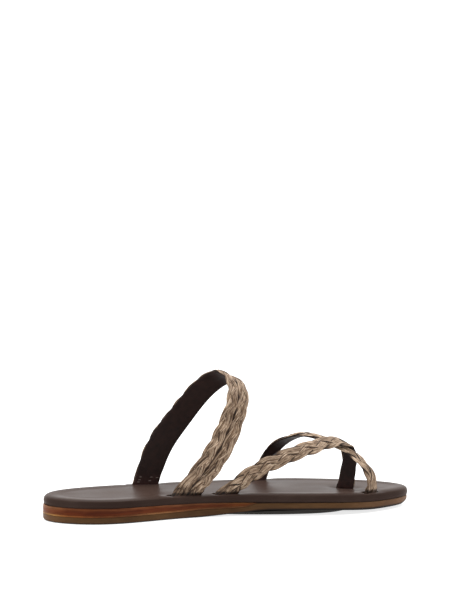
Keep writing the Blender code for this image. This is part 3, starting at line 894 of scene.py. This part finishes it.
class Look:
    """The node tree of a material or a world, with short ways to add its nodes."""

    def __init__(self, name, kind="materials", shader="Principled BSDF"):
        self.owner = getattr(bpy.data, kind).new(name)
        self.owner.use_nodes = True
        self.tree = self.owner.node_tree
        self.shader = self.tree.nodes[shader]

    def node(self, kind, links=(), **settings):
        """A shader node with its settings, and links from sockets or plain values to its inputs."""
        made = self.tree.nodes.new("ShaderNode" + kind)
        for name, value in settings.items():
            setattr(made, name, value)
        for socket, source in dict(links).items():
            self.join(source, made.inputs[socket])
        return made

    def join(self, source, socket):
        if isinstance(source, bpy.types.NodeSocket):
            self.tree.links.new(source, socket)
        else:
            socket.default_value = source

    def set(self, **inputs):
        """Values or links on the shader, with _ for a space in a socket's name."""
        for name, source in inputs.items():
            self.join(source, self.shader.inputs[name.replace("_", " ")])

    def coat(self, colour, rough, specular, height, strength, depth):
        """The material, with a bump that has its depth in millimetres."""
        links = {"Height": height, "Strength": strength, "Distance": depth * MM}
        normal = self.node("Bump", links).outputs["Normal"]
        self.set(Base_Color=colour, Roughness=rough, Specular_IOR_Level=specular, Normal=normal)
        return self.owner

    def value(self, name):
        """A value that the mesh holds for each point."""
        return self.node("Attribute", attribute_name=name).outputs["Fac"]

    def place(self, scale=(1.0, 1.0, 1.0)):
        source = self.node("TexCoord").outputs["Object"]
        return self.node("Mapping", {"Vector": source, "Scale": scale}).outputs["Vector"]

    def along(self, start, end, low=0.0, high=1.0):
        """A value that grows along the shoe, in millimetres from the back of the heel."""
        source = self.node("TexCoord").outputs["Object"]
        x = self.node("SeparateXYZ", {"Vector": source}).outputs["X"]
        station = self.math("ADD", self.math("MULTIPLY", x, 1.0 / MM), MIDDLE[0])
        return self.map(station, start, end, low, high)

    def noise(self, scale, detail=3.0, stretch=(1.0, 1.0, 1.0), vector=None, roughness=0.55):
        """Noise on the object, stretched by three factors, or on other places."""
        if vector is None:
            vector = self.place(stretch)
        links = {"Vector": vector, "Scale": scale, "Detail": detail, "Roughness": roughness}
        return self.node("TexNoise", links).outputs["Fac"]

    def map(self, source, from_low, from_high, to_low=0.0, to_high=1.0, kind="LINEAR"):
        links = {
            "Value": source, "From Min": from_low, "From Max": from_high,
            "To Min": to_low, "To Max": to_high,
        }
        return self.node("MapRange", links, interpolation_type=kind).outputs["Result"]

    def vary(self, noise, low, high):
        """A value that follows a noise from low to high."""
        return self.map(noise, 0.3, 0.7, low, high)

    def math(self, operation, first, second):
        return self.node("Math", {0: first, 1: second}, operation=operation).outputs[0]

    def ramp(self, source, *stops):
        """A colour ramp with stops of a place and a linear colour."""
        made = self.node("ValToRGB", {"Fac": source})
        elements = made.color_ramp.elements
        while len(elements) < len(stops):
            elements.new(0.5)
        for element, (place, *colour) in zip(elements, stops):
            element.position = place
            element.color = (*colour, 1.0)
        return made.outputs["Color"]

    def mix(self, kind, factor, first, second):
        links = {0: factor, 6: first, 7: second}
        return self.node("Mix", data_type="RGBA", blend_type=kind, links=links).outputs[2]

    def times(self, colour, *layers, factor=1.0):
        """A colour multiplied by others, each by a factor."""
        for layer in layers:
            colour = self.mix("MULTIPLY", factor, colour, layer)
        return colour


def braid_raffia():
    """Dry plant fibre: taupe strips in many tones, with painted shade in the gaps and at the base."""
    look = Look("braid_raffia")
    run, lane = look.value("run"), look.value("lane")

    def grain(stretch, scale, skew=0.0, detail=4.0, roughness=0.65):
        """Noise with a stretch along the strands, a fineness across them and a slant."""
        across = look.math("ADD", lane, look.math("MULTIPLY", run, skew))
        links = {"X": look.math("MULTIPLY", run, stretch), "Y": across}
        vector = look.node("CombineXYZ", links).outputs["Vector"]
        return look.noise(scale, detail, vector=vector, roughness=roughness)

    def hairlines(stretch, scale, skew, breadth):
        """Dark hairlines where a noise passes its mean, each with a painted highlight beside it."""
        noise = grain(stretch, scale, skew, 2.0, 0.5)
        off = look.math("ABSOLUTE", look.math("SUBTRACT", noise, 0.5), 0.0)
        # The ramp's middle stop is a painted highlight beside each dark hairline
        return look.ramp(
            look.map(off, 0.0, breadth),
            (0.12, 0.30, 0.23, 0.17), (0.45, 1.12, 1.12, 1.12), (1.0, 0.97, 0.97, 0.97),
        )

    broad, fine = grain(0.10, 0.9), grain(0.12, 2.4)
    tone = look.math("ADD", look.value("tone"), look.vary(broad, -0.16, 0.16))
    tone = look.math("ADD", tone, look.vary(fine, -0.2, 0.2))
    colour = look.ramp(
        tone, (0.0, 0.05, 0.028, 0.015), (0.3, 0.22, 0.146, 0.091),
        (0.6, 0.38, 0.272, 0.186), (1.0, 0.66, 0.51, 0.375),
    )
    # Painted shade: under crossing strips, along the strips' rims, in the seam between plaits and at the
    # straps' base
    depth = look.value("depth")
    shade = look.ramp(depth, (0.1, 0.07, 0.044, 0.028), (0.28, 0.55, 0.48, 0.41), (0.5, *WHITE))
    line = look.ramp(look.value("rim"), (0.45, *WHITE), (1.0, 0.34, 0.27, 0.21))
    base = look.ramp(look.value("base"), (0.0, 0.16, 0.11, 0.08), (0.9, *WHITE))
    colour = look.times(colour, shade, line, base)
    long_lines, slant_lines = hairlines(0.035, 0.55, 0.03, 0.12), hairlines(0.045, 0.7, -0.07, 0.09)
    colour = look.times(colour, long_lines, slant_lines, factor=look.value("hairs"))
    rough = look.vary(fine, 0.5, 0.75)
    return look.coat(colour, rough, specular=0.35, height=fine, strength=0.5, depth=0.12)


def leather_grain(look, cell):
    """Height of a fine leather grain with cells of a size in millimetres."""
    links = {"Vector": look.place(), "Scale": 1.0 / (cell * MM)}
    cells = look.node("TexVoronoi", links, feature="SMOOTH_F1").outputs["Distance"]
    return look.math("ADD", cells, look.noise(0.5 / (cell * MM)))


def lining_leather():
    """Very dark matt leather on the inner side of the straps."""
    look = Look("lining_leather")
    mottle = look.noise(260.0)
    rise = look.map(look.value("rise"), 0.0, 12.0)
    inner = look.times(
        look.ramp(mottle, (0.3, 0.011, 0.004, 0.0028), (0.7, 0.024, 0.01, 0.0075)),
        look.ramp(rise, (0.0, 2.0, 1.9, 2.1), (0.6, *WHITE)),
    )
    backing = look.ramp(mottle, (0.3, 0.03, 0.015, 0.008), (0.7, 0.065, 0.036, 0.02))
    colour = look.mix("MIX", look.value("face"), inner, backing)
    rough, height = look.vary(mottle, 0.5, 0.68), leather_grain(look, 0.7)
    return look.coat(colour, rough, specular=0.22, height=height, strength=0.35, depth=0.12)


def stitch_thread():
    """Dull grey-brown sewing thread."""
    look = Look("stitch_thread")
    twist = look.noise(2500.0, 2.0)
    colour = look.ramp(twist, (0.3, 0.11, 0.085, 0.074), (0.7, 0.19, 0.15, 0.13))
    return look.coat(colour, rough=0.7, specular=0.2, height=twist, strength=0.4, depth=0.05)


def footbed_leather():
    """Smooth dark-brown leather with soft mottling and a sheen at low angles."""
    look = Look("footbed_leather")
    mottle = look.noise(55.0, 5.0, (0.6, 1.0, 1.0))
    colour = look.ramp(
        mottle, (0.3, 0.0275, 0.0170, 0.0138), (0.55, 0.034, 0.0216, 0.0178), (0.75, 0.0435, 0.029, 0.024)
    )
    look.set(Specular_Tint=(1.0, 0.80, 0.68, 1.0), Sheen_Tint=(1.0, 0.62, 0.45, 1.0))
    look.set(Sheen_Weight=0.05, Sheen_Roughness=0.4)
    rough, height = look.vary(mottle, 0.30, 0.40), leather_grain(look, 0.8)
    return look.coat(colour, rough, specular=0.011, height=height, strength=0.22, depth=0.1)


def wedge_orange():
    """Stained orange-brown edge with streaks along the shoe."""
    look = Look("wedge_orange")
    streak = look.noise(900.0, 4.0, (0.12, 0.12, 1.0))
    drift = look.vary(look.noise(45.0), -0.12, 0.12)
    # Bands of the stacked leather by height; the last stop darkens the top edge as painted shade under
    # the footbed
    bands = look.ramp(
        look.math("ADD", look.value("level"), drift),
        (0.0, 0.095, 0.024, 0.006), (0.3, 0.085, 0.02, 0.005), (0.5, 0.075, 0.017, 0.005),
        (0.72, 0.1, 0.031, 0.011), (0.9, 0.13, 0.048, 0.02), (1.0, 0.1, 0.036, 0.015),
    )
    tone = look.ramp(streak, (0.35, 0.72, 0.66, 0.6), (0.65, 1.2, 1.25, 1.3))
    # Painted light and shade along the wedge: lighter at the back of the heel and by the waist, darker
    # along the heel's side
    light_along = look.ramp(
        look.along(0.0, 140.0),
        (0.02, 1.4, 1.5, 1.3), (0.08, 0.95, 0.75, 0.55), (0.22, 0.75, 0.58, 0.5), (0.48, 1.25, 1.15, 1.1),
        (0.65, 0.95, 0.95, 1.0), (0.8, 0.9, 0.88, 0.85), (0.9, 1.15, 1.25, 0.95),
    )
    colour, rough = look.times(bands, tone, light_along), look.vary(streak, 0.38, 0.55)
    return look.coat(colour, rough, specular=0.08, height=streak, strength=0.25, depth=0.08)


def rand_tan():
    """The thin tan line under the wedge."""
    look = Look("rand_tan")
    streak = look.noise(600.0, 3.0, (0.2, 0.2, 1.0))
    tone = look.ramp(streak, (0.3, 0.1, 0.034, 0.008), (0.7, 0.19, 0.08, 0.026))
    # Painted light and shade along the tan line: lightest by the back of the heel, darker along the
    # heel's side
    light_along = look.ramp(
        look.along(0.0, 140.0),
        (0.02, 1.6, 2.0, 1.8), (0.06, 1.5, 1.35, 1.0), (0.12, 1.0, 0.72, 0.5), (0.36, 0.62, 0.5, 0.5),
        (0.48, 1.4, 1.55, 1.8), (0.62, 1.15, 1.1, 1.2), (0.75, 0.6, 0.55, 0.6),
    )
    colour, rough = look.times(tone, light_along), look.vary(streak, 0.45, 0.6)
    return look.coat(colour, rough, specular=0.12, height=streak, strength=0.2, depth=0.06)


def sole_brown():
    """Brown sole edge, with faint streaks, painted shade at its lower rim and painted light and shade
    along it.
    """
    look = Look("sole_brown")
    streak = look.noise(700.0, 4.0, (0.15, 0.15, 1.0))
    patch = look.noise(35.0)
    tone = look.ramp(
        look.math("MULTIPLY", look.math("ADD", streak, patch), 0.5),
        (0.35, 0.06, 0.026, 0.008), (0.5, 0.08, 0.037, 0.012), (0.65, 0.1, 0.048, 0.017),
    )
    # Painted shade along the lower rim, reaching higher under the forefoot
    rim = look.ramp(
        look.math("SUBTRACT", look.value("level"), look.along(100.0, 160.0, 0.0, 0.14)),
        (0.07, 0.05, 0.04, 0.03), (0.18, 0.55, 0.52, 0.5), (0.3, *WHITE),
    )
    # Painted light and shade along the sole: darker along the heel's side and under the waist, lighter at
    # the back of the heel and at the toe
    shade_along = look.ramp(
        look.along(0.0, 250.0),
        (0.01, 1.2, 1.15, 1.2), (0.06, 0.9, 0.9, 0.85), (0.15, 0.75, 0.74, 0.78), (0.27, *WHITE),
        (0.42, 0.78, 0.76, 0.8), (0.62, 0.8, 0.8, 0.8), (0.78, 1.0, 1.0, 1.05), (0.88, 1.3, 1.35, 1.7),
        (0.97, 1.5, 1.5, 1.8),
    )
    colour, rough = look.times(tone, rim, shade_along), look.vary(streak, 0.45, 0.62)
    return look.coat(colour, rough, specular=0.12, height=streak, strength=0.2, depth=0.08)


def rubber():
    """Matt dark-grey rubber with a fine pebbled skin."""
    look = Look("pad_rubber_grey")
    pebble = look.noise(1400.0, 2.0)
    colour = look.ramp(pebble, (0.3, 0.018, 0.0165, 0.014), (0.7, 0.030, 0.028, 0.024))
    rough = look.vary(pebble, 0.7, 0.85)
    return look.coat(colour, rough, specular=0.15, height=pebble, strength=0.4, depth=0.1)


# Stage

def make_floor():
    mesh = bpy.data.meshes.new("floor")
    corners = [(x * FLOOR_REACH, y * FLOOR_REACH, 0.0) for x, y in ((-1, -1), (1, -1), (1, 1), (-1, 1))]
    mesh.from_pydata(corners, [], [(0, 1, 2, 3)])
    look = Look("floor_white")
    grey = (FLOOR_GREY, FLOOR_GREY, FLOOR_GREY, 1.0)
    look.set(Base_Color=grey, Roughness=0.9, Specular_IOR_Level=0.1)
    look.set(Emission_Color=(*WHITE, 1.0), Emission_Strength=FLOOR_GLOW)
    mesh.materials.append(look.owner)
    add_object("floor", mesh)


def make_lights():
    sky = Look("studio", "worlds", "Background")
    links = {0: sky.node("TexCoord").outputs["Generated"], 1: LIGHT_FROM}
    share = sky.node("VectorMath", links, operation="DOT_PRODUCT").outputs["Value"]
    sky.set(Color=(*WHITE, 1.0), Strength=sky.map(share, *LIGHT_LEVELS, kind="SMOOTHSTEP"))
    SCENE.world = sky.owner
    lamp = bpy.data.lights.new("overhead", "AREA")
    lamp.size, lamp.energy = LAMP_SIZE, LAMP_POWER
    overhead = add_object("overhead", lamp)
    overhead.location = LAMP_PLACE
    overhead.rotation_euler = (-Vector(LAMP_PLACE)).to_track_quat("-Z", "Y").to_euler()


def make_camera():
    data = bpy.data.cameras.new("camera")
    data.sensor_width = SENSOR
    data.lens = SENSOR * FOCAL_PIXELS / PICTURE_HEIGHT
    camera = add_object("camera", data)
    camera.matrix_world = (
        Matrix.Translation(Vector(to_metres(CAMERA_PLACE))) @ Matrix.Rotation(-CAMERA_YAW, 4, "Z")
        @ Matrix.Rotation(math.pi / 2 - CAMERA_PITCH, 4, "X") @ Matrix.Rotation(CAMERA_ROLL, 4, "Z")
    )
    SCENE.camera = camera


make_sole()
make_straps()
make_floor()
make_lights()
make_camera()
SCENE.view_settings.view_transform = "Standard"
